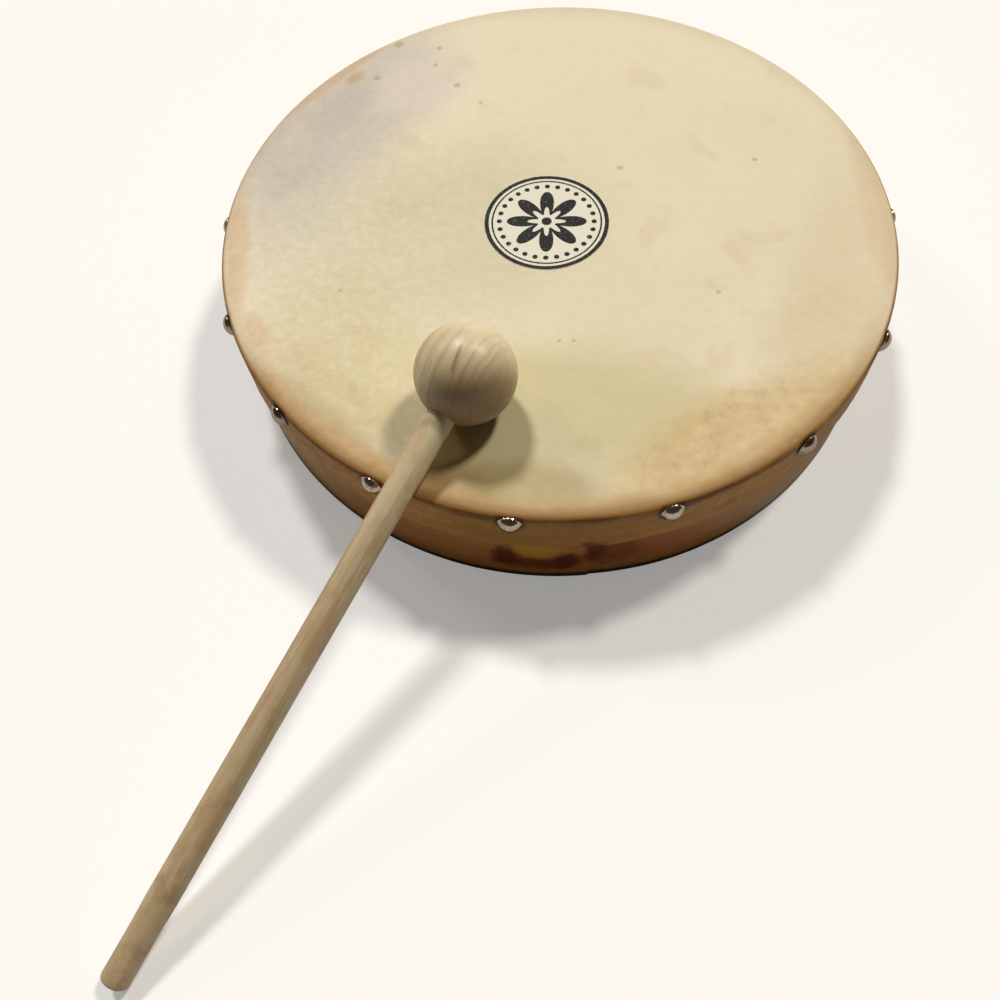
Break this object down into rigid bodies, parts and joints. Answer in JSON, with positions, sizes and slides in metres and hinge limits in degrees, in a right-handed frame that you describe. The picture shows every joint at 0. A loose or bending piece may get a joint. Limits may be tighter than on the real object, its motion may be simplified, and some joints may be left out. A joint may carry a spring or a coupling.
{
  "type": "bodhran",
  "caption": "Shallow round frame drum with a tacked rawhide head and an inside hand bar, and a ball-ended wooden beater resting across its rim.",
  "frame": {"origin": "centre of the drum head's playing face", "axes": "+Z out of the playing face along the drum's axis, -Y towards the side where the beater's stick lies"},
  "size_m": [0.3083, 0.464, 0.0982],
  "materials": {
    "hoop_wood": "satin",
    "rawhide": "satin",
    "bar_wood": "satin",
    "nickel": "polished",
    "screw_steel": "satin",
    "ball_wood": "varnished",
    "stick_wood": "satin",
    "print_ink": "matte"
  },
  "bodies": {
    "drum": {"hoop": "hoop_wood", "skin": "rawhide", "crossbar": "bar_wood", "crossbar_screw_right": "screw_steel", "crossbar_screw_left": "screw_steel", "tack_01": "nickel", "tack_02": "nickel", "tack_03": "nickel", "tack_04": "nickel", "tack_05": "nickel", "tack_06": "nickel", "tack_07": "nickel", "tack_08": "nickel", "tack_09": "nickel", "tack_10": "nickel", "tack_11": "nickel", "tack_12": "nickel", "tack_13": "nickel", "tack_14": "nickel", "tack_15": "nickel"},
    "beater": {"beater_ball": "ball_wood", "beater_stick": "stick_wood"}
  },
  "joints": [
    {"name": "beater_lift", "type": "slide", "parent": "drum", "child": "beater", "axis": [0, 0, 1], "range_m": [0, 0.12]}
  ]
}
